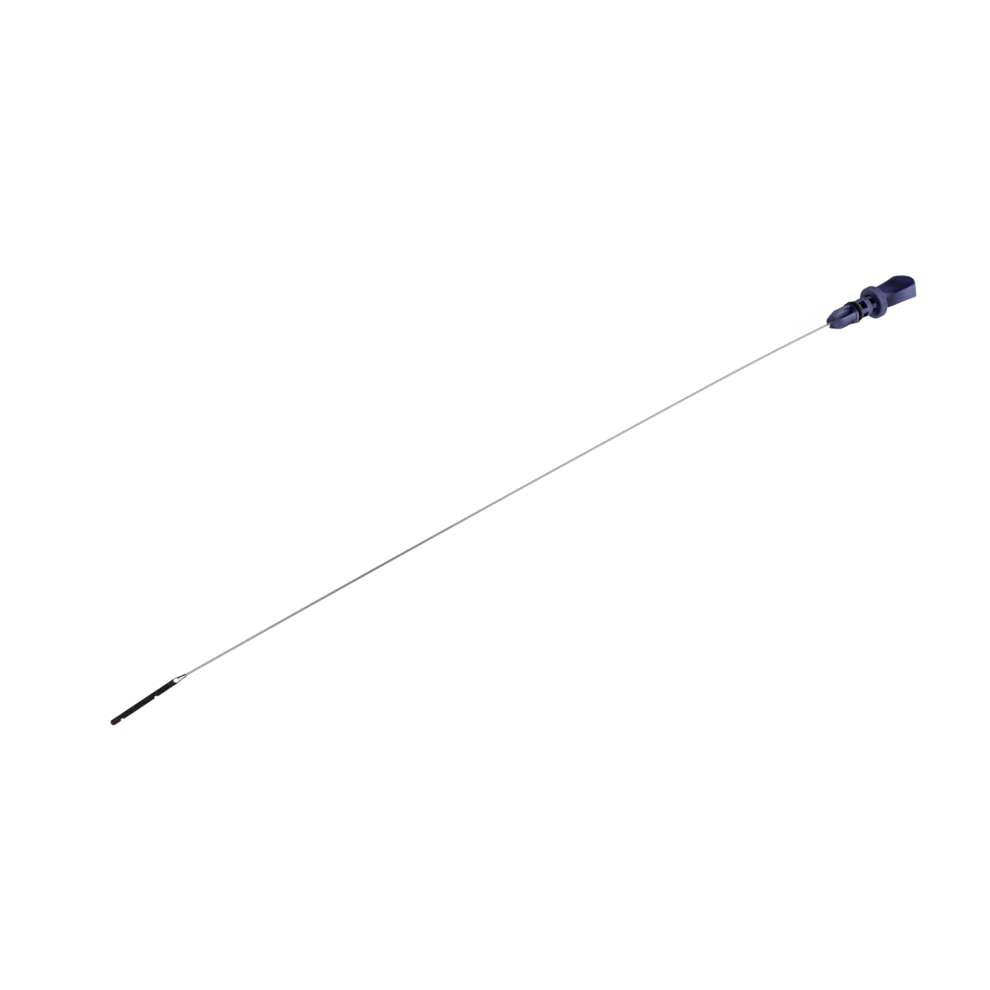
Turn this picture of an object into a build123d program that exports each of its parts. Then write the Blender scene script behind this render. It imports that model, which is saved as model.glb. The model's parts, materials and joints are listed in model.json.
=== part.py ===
from build123d import *

import math
import os

# Engine oil dipstick: a moulded handle with a seal ring, a bright steel wire and a black gauge blade.
# Millimetres, +Z up. The dipstick lies on z = 0, on the rim of its flange and on its flat blade, with the
# handle towards +X. The origin is on that surface, under the middle of its length.

# Handle, measured along the plug axis from the flange's seat face, first towards the nose
FLANGE_RADIUS = 12.6
FLANGE_THICKNESS = 5.0
FLANGE_EDGE_RADIUS = 0.6
NECK_RADIUS = 7.4
NECK_RIB_WIDTH = 4.4
SEAT_RIB_RADIUS = 5.8
SEAT_RIB_WIDTH = 3.4
SEAT_WINDOW_LENGTH = 5.8
NECK_RING_LENGTH = 3.8
GROOVE_WINDOW_LENGTH = 6.0
BACK_DISC_RADIUS = 7.9
BACK_DISC_THICKNESS = 1.6
FRONT_DISC_RADIUS = 8.3
FRONT_DISC_THICKNESS = 1.3
NOSE_RADIUS = 7.5
NOSE_LENGTH = 20.4
NOSE_RIB_WIDTH = 6.0
NOSE_TAPER_LENGTH = 7.5
NOSE_SHOULDER_RADIUS = 6.0
NOSE_TIP_RADIUS = 4.2
NOSE_TIP_EDGE_RADIUS = 0.8
POCKET_BACK_RADIUS = 3.9
POCKET_FRONT_RADIUS = 5.6
TIP_SLOT_WIDTH = 2.0
TIP_SLOT_DEPTH = 2.8

# Grip, measured along the plug axis from the back of the flange: its half-widths, and the heights of its hollow
# thumb face and under face over the plug axis
GRIP_LENGTH = 35.6
GRIP_ROOT_HALF_WIDTH = 7.6
GRIP_WAIST_AT = 3.5
GRIP_WAIST_HALF_WIDTH = 7.7
GRIP_WAIST_RADIUS = 6.0
GRIP_FLARE_AT = 8.5
GRIP_FLARE_HALF_WIDTH = 9.6
GRIP_FLARE_RADIUS = 12.0
GRIP_SHOULDER_AT = 30.4
GRIP_SHOULDER_HALF_WIDTH = 12.1
GRIP_SHOULDER_RADIUS = 3.0
GRIP_LOW_AT = 17.0
THUMB_ROOT_HEIGHT = 7.5
THUMB_LOW_HEIGHT = 6.2
THUMB_END_HEIGHT = 8.0
UNDER_ROOT_HEIGHT = 5.9
UNDER_LOW_HEIGHT = 5.3
UNDER_END_HEIGHT = 6.2
GRIP_EDGE_RADIUS = 1.0
HANDLE_ROLL = -24.0

# Seal ring and its groove
RING_SECTION = 3.0
RING_INNER_RADIUS = 5.7
RING_SEAT_CLEARANCE = 0.05
RING_SIDE_CLEARANCE = 0.3

# Wire, from its blind end in the nose to the corner where it meets the spade's level line. It comes out of
# the nose along the plug axis, bows downwards over its first stretch and more gently over the rest.
WIRE_DIAMETER = 1.6
WIRE_BORE_CLEARANCE = 0.02
WIRE_SET_LENGTH = 30.0
FIRST_BOW_LENGTH = 117.0
FIRST_BOW_TURN = 3.42
LONG_BOW_LENGTH = 434.0
LONG_BOW_TURN = 1.76
SPADE_BEND_RADIUS = 30.0

# Spade at the wire's end, pressed flat along its underside, with its taper run into the ring of the eye
SPADE_TAPER_LENGTH = 8.3
SPADE_TAPER_INSET = 0.06
SPADE_THICKNESS = 0.5
EYE_DIAMETER = 3.2
EYE_RING_WIDTH = 0.5
TANG_WIDTH = 1.6
TANG_LENGTH = 12.0
TANG_CLEARANCE = 0.02

# Gauge blade, measured from the middle of the eye to the tip, and turned there from the wire's line
BLADE_TURN = 7.1
BLADE_LENGTH = 50.5
BLADE_WIDTH = 4.3
BLADE_THICKNESS = 1.0
BLADE_ROOT_SETBACK = 0.5
BLADE_CORNER_RADIUS = 2.0
BLADE_EDGE_RADIUS = 0.2
LOW_MARK_FROM_TIP = 7.5
FULL_MARK_FROM_LOW = 25.8
NOTCH_MOUTH = 2.6
NOTCH_FLOOR = 1.3
NOTCH_STEEP_RUN = 0.3
NOTCH_DEPTH = 1.2

# Places along the plug axis that follow from the sizes above
NECK_RING_BACK = -SEAT_WINDOW_LENGTH
NECK_RING_FRONT = NECK_RING_BACK - NECK_RING_LENGTH
BACK_DISC_BACK = NECK_RING_FRONT - GROOVE_WINDOW_LENGTH
GROOVE_BACK = BACK_DISC_BACK - BACK_DISC_THICKNESS
GROOVE_WIDTH = RING_SECTION + 2 * RING_SIDE_CLEARANCE
RING_PLACE = GROOVE_BACK - GROOVE_WIDTH / 2
FRONT_DISC_BACK = GROOVE_BACK - GROOVE_WIDTH
NOSE_BACK = FRONT_DISC_BACK - FRONT_DISC_THICKNESS
NOSE_TIP = NOSE_BACK - NOSE_LENGTH
GRIP_END = FLANGE_THICKNESS + GRIP_LENGTH
WIRE_RADIUS = WIRE_DIAMETER / 2
EYE_RING_RADIUS = EYE_DIAMETER / 2 + EYE_RING_WIDTH
SPADE_FLOOR = (BLADE_THICKNESS - SPADE_THICKNESS) / 2
SPADE_MIDDLE = BLADE_THICKNESS / 2
UP = Vector(0, 0, 1)
SPADEWARD = Vector(-1, 0, 0)


def bow(start: Vector, slope: float, length: float, turn: float) -> Vector:
    """End of an arc in the XZ plane that sets out to -X, downhill by slope degrees, and turns further down."""
    radius = length / math.radians(turn)
    first = math.radians(slope)
    last = math.radians(slope + turn)
    return start + Vector(math.sin(first) - math.sin(last), 0, math.cos(last) - math.cos(first)) * radius


# The wire's line in the handle's own frame, with the plug axis along X and the seat at the origin
NOSE_POINT = Vector(NOSE_TIP, 0, 0)
WIRE_LINE = {
    "blind end": Vector(NOSE_TIP + WIRE_SET_LENGTH, 0, 0),
    "nose": NOSE_POINT,
    "first bow middle": bow(NOSE_POINT, 0, FIRST_BOW_LENGTH / 2, FIRST_BOW_TURN / 2),
    "first bow end": bow(NOSE_POINT, 0, FIRST_BOW_LENGTH, FIRST_BOW_TURN),
}
LONG_BOW = (WIRE_LINE["first bow end"], FIRST_BOW_TURN)
WIRE_LINE["long bow middle"] = bow(*LONG_BOW, LONG_BOW_LENGTH / 2, LONG_BOW_TURN / 2)
WIRE_LINE["corner"] = bow(*LONG_BOW, LONG_BOW_LENGTH, LONG_BOW_TURN)

# Lowest edge of the flange rim, as the centre line of its edge radius
RIM_EDGE = Vector(FLANGE_THICKNESS - FLANGE_EDGE_RADIUS, 0, FLANGE_EDGE_RADIUS - FLANGE_RADIUS)


def rest_pitch() -> float:
    """Nose-up angle of the plug axis, in degrees, at which the flange rim and the blade both touch z = 0."""
    reach = WIRE_LINE["corner"] - RIM_EDGE
    rise = SPADE_FLOOR + WIRE_RADIUS - FLANGE_EDGE_RADIUS
    return math.degrees(math.asin(rise / reach.length) - math.atan2(reach.Z, -reach.X))


PITCH = rest_pitch()
SEAT_HEIGHT = FLANGE_EDGE_RADIUS - RIM_EDGE.rotate(Axis.Y, PITCH).Z
REST = Pos(0, 0, SEAT_HEIGHT) * Rot(0, PITCH, 0)


class Route:
    """The wire's line as it lies, from the nose to the blade's tip, before the dipstick is centred."""

    def __init__(self) -> None:
        line = {name: (REST * Pos(point)).position for name, point in WIRE_LINE.items()}
        slope = FIRST_BOW_TURN + LONG_BOW_TURN - PITCH
        arrival = SPADEWARD.rotate(Axis.Y, -slope)
        tangent = SPADE_BEND_RADIUS * math.tan(math.radians(slope / 2))
        spread = SPADE_BEND_RADIUS * (1 / math.cos(math.radians(slope / 2)) - 1)
        self.line = line
        self.bend_start = line["corner"] - arrival * tangent
        self.bend_middle = line["corner"] + (SPADEWARD - arrival).normalized() * spread
        self.spade_start = line["corner"] + SPADEWARD * tangent
        eye = self.spade_start + SPADEWARD * SPADE_TAPER_LENGTH
        self.eye = Vector(eye.X, eye.Y, 0)
        self.blade_heading = SPADEWARD.rotate(Axis.Z, BLADE_TURN)
        self.tip = self.eye + self.blade_heading * BLADE_LENGTH


ROUTE = Route()
GRIP_END_X = (REST * Pos(GRIP_END, 0, 0)).position.X
CENTRING = Pos(-(GRIP_END_X + ROUTE.tip.X) / 2, 0, 0)
HANDLE_PLACE = CENTRING * REST * Rot(HANDLE_ROLL, 0, 0)
BLADE_PLANE = Plane(origin=ROUTE.eye, x_dir=ROUTE.blade_heading, z_dir=UP)


def disc(radius: float, start: float, end: float) -> Part:
    """Solid round of the handle, between two places along the plug axis."""
    return extrude(Plane.YZ.offset(start) * Circle(radius), end - start)


def ribs(radius: float, width: float, start: float, end: float) -> Part:
    """Four crossed ribs inside a round of the given radius."""
    bar = Rectangle(width, 2 * radius) + Rectangle(2 * radius, width)
    return extrude(Plane.YZ.offset(start) * (bar & Circle(radius)), end - start)


def make_flange() -> Part:
    """Round flange with its rim edges rounded."""
    flange = disc(FLANGE_RADIUS, 0, FLANGE_THICKNESS)
    return fillet(flange.edges(), FLANGE_EDGE_RADIUS)


def make_neck() -> Part:
    """Ribbed neck with its ring, the two discs of the seal groove and the groove's floor."""
    floor_radius = RING_INNER_RADIUS - RING_SEAT_CLEARANCE
    neck = ribs(SEAT_RIB_RADIUS, SEAT_RIB_WIDTH, NECK_RING_BACK, FLANGE_THICKNESS / 2)
    neck += ribs(NECK_RADIUS, NECK_RIB_WIDTH, BACK_DISC_BACK, NECK_RING_FRONT)
    neck += disc(NECK_RADIUS, NECK_RING_FRONT, NECK_RING_BACK)
    neck += disc(BACK_DISC_RADIUS, GROOVE_BACK, BACK_DISC_BACK)
    neck += disc(floor_radius, FRONT_DISC_BACK, GROOVE_BACK)
    neck += disc(FRONT_DISC_RADIUS, NOSE_BACK, FRONT_DISC_BACK)
    return neck


def make_nose_pocket() -> Part:
    """Wedge between two ribs of the nose, deep at the disc and running out through the tapered tip."""
    outside = 2 * NOSE_RADIUS
    outline = Polyline(
        (NOSE_BACK, POCKET_BACK_RADIUS),
        (NOSE_BACK, outside),
        (NOSE_TIP, outside),
        (NOSE_TIP, POCKET_FRONT_RADIUS),
        close=True,
    )
    diagonal = Vector(0, 1, 1).normalized()
    side_view = Plane(origin=(0, 0, 0), x_dir=(1, 0, 0), z_dir=Vector(1, 0, 0).cross(diagonal))
    wedge = extrude(side_view * make_face(outline), NOSE_RADIUS, both=True)
    corner = Pos(NOSE_TIP, NOSE_RIB_WIDTH / 2, NOSE_RIB_WIDTH / 2)
    align_low = (Align.MIN, Align.MIN, Align.MIN)
    return wedge & corner * Box(NOSE_LENGTH, outside, outside, align=align_low)


def make_nose() -> Part:
    """Round nose with a tapered tip, four pockets between its ribs and crossed slots that leave four prongs."""
    taper_start = NOSE_TIP + NOSE_TAPER_LENGTH
    profile = make_face(
        Polyline(
            (NOSE_BACK, 0),
            (NOSE_BACK, NOSE_RADIUS),
            (taper_start, NOSE_RADIUS),
            (NOSE_TIP, NOSE_TIP_RADIUS),
            (NOSE_TIP, 0),
            close=True,
        )
    )
    shoulder = profile.vertices().sort_by_distance((taper_start, NOSE_RADIUS))[0]
    profile = fillet(shoulder, NOSE_SHOULDER_RADIUS)
    tip_corner = profile.vertices().sort_by_distance((NOSE_TIP, NOSE_TIP_RADIUS))[0]
    profile = fillet(tip_corner, NOSE_TIP_EDGE_RADIUS)
    nose = revolve(profile, Axis.X)
    pocket = make_nose_pocket()
    slot = Pos(NOSE_TIP, 0, 0) * Box(2 * TIP_SLOT_DEPTH, 3 * NOSE_TIP_RADIUS, TIP_SLOT_WIDTH)
    for quarter in range(4):
        nose -= Rot(90 * quarter, 0, 0) * pocket
    for diagonal in (45, 135):
        nose -= Rot(diagonal, 0, 0) * slot
    return nose


def rounded(face: Sketch, place: float, radius: float) -> Sketch:
    """The face with its corners at one place along the plug axis rounded."""
    return fillet(face.vertices().filter_by_position(Axis.X, place - 0.1, place + 0.1), radius)


def grip_outline() -> Sketch:
    """Plan of the grip: waisted behind the flange, flared to its shoulders, with a shallow round end."""
    root = FLANGE_THICKNESS
    waist = root + GRIP_WAIST_AT
    flare = root + GRIP_FLARE_AT
    shoulder = root + GRIP_SHOULDER_AT
    near = Polyline(
        (root, 0),
        (root, GRIP_ROOT_HALF_WIDTH),
        (waist, GRIP_WAIST_HALF_WIDTH),
        (flare, GRIP_FLARE_HALF_WIDTH),
        (shoulder, GRIP_SHOULDER_HALF_WIDTH),
    )
    far = mirror(near, Plane.XZ)
    end = ThreePointArc(
        (shoulder, GRIP_SHOULDER_HALF_WIDTH), (GRIP_END, 0), (shoulder, -GRIP_SHOULDER_HALF_WIDTH)
    )
    outline = make_face(near.edges() + far.edges() + [end])
    outline = rounded(outline, waist, GRIP_WAIST_RADIUS)
    outline = rounded(outline, flare, GRIP_FLARE_RADIUS)
    return rounded(outline, shoulder, GRIP_SHOULDER_RADIUS)


def grip_profile() -> Sketch:
    """Side view of the grip between its hollow thumb face and under face. It runs past the grip's end."""
    root = FLANGE_THICKNESS
    low = root + GRIP_LOW_AT
    past_end = GRIP_END + GRIP_EDGE_RADIUS
    thumb = ThreePointArc((root, THUMB_ROOT_HEIGHT), (low, THUMB_LOW_HEIGHT), (past_end, THUMB_END_HEIGHT))
    under = ThreePointArc((root, -UNDER_ROOT_HEIGHT), (low, -UNDER_LOW_HEIGHT), (past_end, -UNDER_END_HEIGHT))
    back = Line((root, THUMB_ROOT_HEIGHT), (root, -UNDER_ROOT_HEIGHT))
    end = Line((past_end, THUMB_END_HEIGHT), (past_end, -UNDER_END_HEIGHT))
    return make_face([thumb, end, under, back])


def make_grip() -> Part:
    """Waisted grip, flared to a paddle with hollow broad faces, with its outlines rounded."""
    walls = extrude(grip_outline(), 2 * THUMB_END_HEIGHT, both=True)
    faces = extrude(Plane.XZ * grip_profile(), 2 * GRIP_SHOULDER_HALF_WIDTH, both=True)
    grip = walls & faces
    broad_edges = [edge for edge in grip.edges() if abs(edge.center().Z) > UNDER_LOW_HEIGHT / 2]
    outlines = [edge for edge in broad_edges if edge.center().X > FLANGE_THICKNESS + 0.1]
    return fillet(outlines, GRIP_EDGE_RADIUS)


def make_handle() -> Part:
    """The whole moulding, with the blind bore that the wire is set in."""
    handle = make_flange() + make_neck() + make_nose() + make_grip()
    bore = disc(WIRE_RADIUS + WIRE_BORE_CLEARANCE, NOSE_TIP, NOSE_TIP + WIRE_SET_LENGTH)
    return HANDLE_PLACE * (handle - bore)


def make_seal_ring() -> Part:
    """Rubber ring that fills the groove and stands proud of its discs."""
    middle = RING_INNER_RADIUS + RING_SECTION / 2
    return HANDLE_PLACE * Pos(RING_PLACE, 0, 0) * Rot(0, 90, 0) * Torus(middle, RING_SECTION / 2)


def make_wire() -> Part:
    """Round wire along its route, pressed flat at the end to a spade with an eye and a tang."""
    at = ROUTE.line
    line = Wire(
        [
            Edge.make_line(at["blind end"], at["nose"]),
            Edge.make_three_point_arc(at["nose"], at["first bow middle"], at["first bow end"]),
            Edge.make_three_point_arc(at["first bow end"], at["long bow middle"], ROUTE.bend_start),
            Edge.make_three_point_arc(ROUTE.bend_start, ROUTE.bend_middle, ROUTE.spade_start),
        ]
    )
    noseward = at["nose"] - at["blind end"]
    wire = sweep(Plane(origin=at["blind end"], z_dir=noseward) * Circle(WIRE_RADIUS), path=line)

    round_end = Plane(origin=ROUTE.spade_start, x_dir=UP.cross(SPADEWARD), z_dir=SPADEWARD)
    pressed = round_end.offset(SPADE_TAPER_LENGTH)
    drop = SPADE_MIDDLE - ROUTE.spade_start.Z
    half_width = EYE_RING_RADIUS - SPADE_TAPER_INSET
    half_thickness = SPADE_THICKNESS / 2 - SPADE_TAPER_INSET
    flat_section = pressed * Pos(0, drop, 0) * Ellipse(half_width, half_thickness)
    taper = loft([round_end * Circle(WIRE_RADIUS), flat_section])

    level = Pos(0, 0, SPADE_FLOOR)
    ring = extrude(BLADE_PLANE * level * Circle(EYE_RING_RADIUS), SPADE_THICKNESS)
    tang_size = (EYE_RING_RADIUS + TANG_LENGTH, TANG_WIDTH, SPADE_THICKNESS)
    tang = BLADE_PLANE * level * Box(*tang_size, align=(Align.MIN, Align.CENTER, Align.MIN))
    eye = extrude(BLADE_PLANE * Circle(EYE_DIAMETER / 2), 2 * WIRE_DIAMETER)
    return CENTRING * (wire + taper + ring + tang - eye)


def notch(from_tip: float) -> Part:
    """Level mark in the blade's near edge, steep on the side towards the tip."""
    edge = BLADE_WIDTH / 2
    floor = edge - NOTCH_DEPTH
    middle = BLADE_LENGTH - from_tip
    steep_end = middle + NOTCH_MOUTH / 2
    floor_end = steep_end - NOTCH_STEEP_RUN
    outline = Polyline(
        (steep_end, edge + NOTCH_DEPTH),
        (steep_end, edge),
        (floor_end, floor),
        (floor_end - NOTCH_FLOOR, floor),
        (middle - NOTCH_MOUTH / 2, edge),
        (middle - NOTCH_MOUTH / 2, edge + NOTCH_DEPTH),
        close=True,
    )
    return extrude(make_face(outline), BLADE_THICKNESS, both=True)


def make_blade() -> Part:
    """Black blade moulded over the tang, hollowed round the eye's ring and notched at the two oil levels."""
    length = BLADE_LENGTH - BLADE_ROOT_SETBACK
    outline = Pos(BLADE_ROOT_SETBACK, 0, 0) * Rectangle(length, BLADE_WIDTH, align=(Align.MIN, Align.CENTER))
    outline = fillet(outline.vertices().sort_by(Axis.X)[-2:], BLADE_CORNER_RADIUS)
    blade = extrude(outline, BLADE_THICKNESS)
    long_edges = [edge for edge in blade.edges() if abs(edge.tangent_at(0.5).Z) < 0.5]
    long_edges = [edge for edge in long_edges if edge.center().X > BLADE_ROOT_SETBACK + 0.1]
    blade = fillet(long_edges, BLADE_EDGE_RADIUS)
    for from_tip in (LOW_MARK_FROM_TIP, LOW_MARK_FROM_TIP + FULL_MARK_FROM_LOW):
        blade -= notch(from_tip)
    blade -= extrude(Circle(EYE_RING_RADIUS + TANG_CLEARANCE), BLADE_THICKNESS)
    pocket_size = (
        EYE_RING_RADIUS + TANG_LENGTH + TANG_CLEARANCE,
        TANG_WIDTH + 2 * TANG_CLEARANCE,
        SPADE_THICKNESS + 2 * TANG_CLEARANCE,
    )
    pocket_floor = Pos(0, 0, SPADE_FLOOR - TANG_CLEARANCE)
    blade -= pocket_floor * Box(*pocket_size, align=(Align.MIN, Align.CENTER, Align.MIN))
    return CENTRING * (BLADE_PLANE * blade)


PIECES = {
    "handle": make_handle,
    "seal_ring": make_seal_ring,
    "wire": make_wire,
    "blade": make_blade,
}


def main() -> None:
    """Write each piece to its own file."""
    os.makedirs("parts", exist_ok=True)
    for name, make in PIECES.items():
        piece = make()
        piece.label = name
        export_step(piece, f"parts/{name}.step")


if __name__ == "__main__":
    main()
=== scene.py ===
"""Looks of an engine oil dipstick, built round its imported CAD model."""
import json
import logging
import math
from dataclasses import dataclass
from enum import Enum
from typing import Any, Sequence, Union

import bmesh
import bpy
from bpy.types import ID, Material, Mesh, Node, NodeSocket, NodeTree, Object
from mathutils import Matrix, Vector


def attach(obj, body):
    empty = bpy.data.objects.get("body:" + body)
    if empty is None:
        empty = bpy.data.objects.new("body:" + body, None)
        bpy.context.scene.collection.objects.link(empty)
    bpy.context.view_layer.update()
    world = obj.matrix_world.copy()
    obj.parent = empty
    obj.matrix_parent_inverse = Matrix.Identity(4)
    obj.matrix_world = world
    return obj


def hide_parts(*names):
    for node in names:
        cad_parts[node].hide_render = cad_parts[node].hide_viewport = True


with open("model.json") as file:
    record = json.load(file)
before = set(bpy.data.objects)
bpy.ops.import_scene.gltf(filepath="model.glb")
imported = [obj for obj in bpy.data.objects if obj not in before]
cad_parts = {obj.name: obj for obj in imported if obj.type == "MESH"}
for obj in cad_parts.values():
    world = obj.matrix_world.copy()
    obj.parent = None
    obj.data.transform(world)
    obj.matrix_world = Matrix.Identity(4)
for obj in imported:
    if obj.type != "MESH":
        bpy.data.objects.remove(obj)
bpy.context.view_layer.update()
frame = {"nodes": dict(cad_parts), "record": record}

BODY = "root"
MM = 0.001
PHOTO_PIXELS = 990
SENSOR_WIDTH = 36.0
WHITE = (1.0, 1.0, 1.0, 1.0)
UP = Vector((0.0, 0.0, 1.0))
EDGE_MM = 0.1
ELLIPSE = 2.0
MIX_INPUTS = (0, 6, 7)
MIX_COLOUR = 2

log = logging.getLogger("dipstick")


class WireMark(Enum):
    """Attributes of the wire's mesh that its draw marks follow."""

    AROUND = "around"
    ALONG = "along"


class Ray(Enum):
    """Kinds of ray that see the white background."""

    CAMERA = "Is Camera Ray"
    GLOSSY = "Is Glossy Ray"
    TRANSMISSION = "Is Transmission Ray"


def linear(code: str) -> tuple[float, float, float, float]:
    """Turn a colour as written on screen into a linear one.

    Args:
        code: the colour as #rrggbb.

    Returns:
        Red, green, blue and an alpha of 1.
    """
    parts = [int(code[i:i + 2], 16) / 255 for i in (1, 3, 5)]
    return (*[p / 12.92 if p <= 0.04045 else ((p + 0.055) / 1.055) ** 2.4 for p in parts], 1.0)


class Field:
    """A shader socket that takes part in Python arithmetic."""

    def __init__(self, board: "Board", socket: NodeSocket) -> None:
        """Wrap a socket of the board's tree."""
        self.board = board
        self.socket = socket

    def __add__(self, other: "Amount") -> "Field":
        """This plus the other."""
        return self.board.math("ADD", self, other)

    def __radd__(self, other: "Amount") -> "Field":
        """The other plus this."""
        return self.board.math("ADD", other, self)

    def __sub__(self, other: "Amount") -> "Field":
        """This less the other."""
        return self.board.math("SUBTRACT", self, other)

    def __rsub__(self, other: "Amount") -> "Field":
        """The other less this."""
        return self.board.math("SUBTRACT", other, self)

    def __mul__(self, other: "Amount") -> "Field":
        """This times the other."""
        return self.board.math("MULTIPLY", self, other)

    def __rmul__(self, other: "Amount") -> "Field":
        """The other times this."""
        return self.board.math("MULTIPLY", other, self)

    def __abs__(self) -> "Field":
        """Size of this without its sign."""
        return self.board.math("ABSOLUTE", self)

    def highest(self, other: "Amount") -> "Field":
        """The larger of this and the other."""
        return self.board.math("MAXIMUM", self, other)

    def lowest(self, other: "Amount") -> "Field":
        """The smaller of this and the other."""
        return self.board.math("MINIMUM", self, other)

    def hypot(self, other: "Field") -> "Field":
        """Length of the diagonal over this and the other."""
        return self.board.math("SQRT", self * self + other * other)

    def rise(self, low: float, high: float) -> "Field":
        """Smooth step.

        Args:
            low: where the step is 0.
            high: where the step is 1; below low for a falling step.

        Returns:
            A share from 0 to 1.
        """
        if low < high:
            return self._step(low, high)
        return 1 - self._step(high, low)

    def _step(self, low: float, high: float) -> "Field":
        """Smooth step that rises from low to high."""
        inputs = {"Value": self, "From Min": low, "From Max": high}
        return self.board.node("ShaderNodeMapRange", inputs, interpolation_type="SMOOTHSTEP")

    def band(self, low: float, high: float, soft: float) -> "Field":
        """Share that is 1 from low to high, with edges that fade over a soft width."""
        half = soft / 2
        return self.rise(low - half, low + half) * self.rise(high + half, high - half)


Amount = Union[Field, float, int]
Colour = Union[Field, str]


def feed(tree: NodeTree, node: Node, inputs: dict) -> None:
    """Link or set a node's inputs.

    Args:
        tree: the node's tree.
        node: the node.
        inputs: fields, sockets or values by the input's name or number.
    """
    for key, value in inputs.items():
        source = value.socket if isinstance(value, Field) else value
        if isinstance(source, NodeSocket):
            tree.links.new(source, node.inputs[key])
        else:
            node.inputs[key].default_value = source


def add_node(
    tree: NodeTree, kind: str, inputs: dict, output: Union[str, int] = 0, **settings: Any
) -> NodeSocket:
    """Add a node of any type.

    Args:
        tree: the tree that it is added to.
        kind: the node's type name.
        inputs: fields, sockets or values by the input's name or number.
        output: name or number of the output that is wanted.
        settings: the node's own settings.

    Returns:
        The wanted output.
    """
    made = tree.nodes.new(kind)
    for name, value in settings.items():
        setattr(made, name, value)
    feed(tree, made, inputs)
    return made.outputs[output]


class Board:
    """The node tree of one material, with a Principled surface at its end."""

    def __init__(self, name: str) -> None:
        """Make a material with only its Principled surface.

        Args:
            name: its name.
        """
        self.material = bpy.data.materials.new(name)
        self.material.use_nodes = True
        self.tree = self.material.node_tree
        self.shader = next(n for n in self.tree.nodes if n.type == "BSDF_PRINCIPLED")
        self.place = self.node("ShaderNodeTexCoord", {}, "Object")

    def node(self, kind: str, inputs: dict, output: Union[str, int] = 0, **settings: Any) -> Field:
        """Add a node to the material, as add_node does, and wrap the wanted output."""
        return Field(self, add_node(self.tree, kind, inputs, output, **settings))

    def math(self, operation: str, *values: Amount) -> Field:
        """Add a Math node on the values, in their order."""
        return self.node("ShaderNodeMath", dict(enumerate(values)), operation=operation)

    def measure(self, origin: Vector, axes: Sequence[Vector]) -> list[Field]:
        """Distances from a point along some directions.

        Args:
            origin: the point, in metres.
            axes: the unit directions.

        Returns:
            The distances in millimetres.
        """
        made = []
        for axis in axes:
            inputs = {0: self.place, 1: tuple(axis / MM)}
            reach = self.node("ShaderNodeVectorMath", inputs, "Value", operation="DOT_PRODUCT")
            made.append(reach - axis.dot(origin) / MM)
        return made

    def spot(self, x: Amount, y: Amount, z: Amount) -> Field:
        """A vector of three amounts."""
        return self.node("ShaderNodeCombineXYZ", {0: x, 1: y, 2: z})

    def noise(self, spot: Field, per_mm: float, detail: float, rough: float = 0.55) -> Field:
        """Cloudy pattern about 0.5 at a spot in millimetres, with so many features in each of them."""
        inputs = {"Vector": spot, "Scale": per_mm, "Detail": detail, "Roughness": rough}
        return self.node("ShaderNodeTexNoise", inputs, noise_dimensions="3D")

    def paint(self, under: Colour, *layers: tuple[Colour, Amount]) -> Field:
        """Lay colours over one another; each is a field or is written as #rrggbb.

        Args:
            under: the lowest colour.
            layers: the others in order, each with how much of it shows.

        Returns:
            The colour that results.
        """
        for over, share in layers:
            low, high = (linear(c) if isinstance(c, str) else c for c in (under, over))
            inputs = dict(zip(MIX_INPUTS, (share, low, high)))
            under = self.node("ShaderNodeMix", inputs, MIX_COLOUR, data_type="RGBA", clamp_factor=True)
        return under

    def shade(self, colour: Field, share: Field) -> Field:
        """Scale a colour by a share."""
        return self.node("ShaderNodeVectorMath", {0: colour, "Scale": share}, operation="SCALE")

    def bump(self, height: Field, depth_mm: float, strength: float) -> Field:
        """Normal of a relief whose height is a share of its depth."""
        inputs = {"Height": height, "Distance": depth_mm * MM, "Strength": strength}
        return self.node("ShaderNodeBump", inputs)

    def finish(
        self, colour: Field, rough: Field, specular: float, normal: Field, metal: Amount = 0.0
    ) -> Material:
        """Feed the Principled surface.

        Args:
            colour: its base colour.
            rough: its roughness.
            specular: its specular level.
            normal: its normal.
            metal: how metallic it is.

        Returns:
            The material.
        """
        sockets = {"Base Color": colour, "Roughness": rough, "Specular IOR Level": specular}
        feed(self.tree, self.shader, {**sockets, "Normal": normal, "Metallic": metal})
        return self.material


@dataclass(frozen=True)
class PlugAxes:
    """The handle's own axes at rest: towards the grip, across it, and out of the thumb's face."""

    seat: Vector
    grip: Vector
    side: Vector
    thumb: Vector

    @classmethod
    def from_record(cls, record: dict, roll_deg: float) -> "PlugAxes":
        """Read the axes from the flange's seat.

        Args:
            record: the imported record.
            roll_deg: the handle's turn about its axis, from the thumb's face up.

        Returns:
            The axes.
        """
        mount = next(m for m in record["mounts"] if m["name"] == "tube_seat")
        grip = -Vector(mount["axis"]).normalized()
        side = UP.cross(grip).normalized()
        turn = Matrix.Rotation(math.radians(roll_deg), 3, grip)
        return cls(Vector(mount["pos_m"]), grip, turn @ side, turn @ grip.cross(side))

    def point(self, reach_mm: float) -> Vector:
        """Point on the plug axis, that far from the seat towards the grip."""
        return self.seat + self.grip * reach_mm * MM

    def matrix(self, reach_mm: float) -> Matrix:
        """Place with its Z along the plug axis, that far from the seat."""
        turned = Matrix((self.side, self.thumb, self.grip)).transposed().to_4x4()
        return Matrix.Translation(self.point(reach_mm)) @ turned


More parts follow.
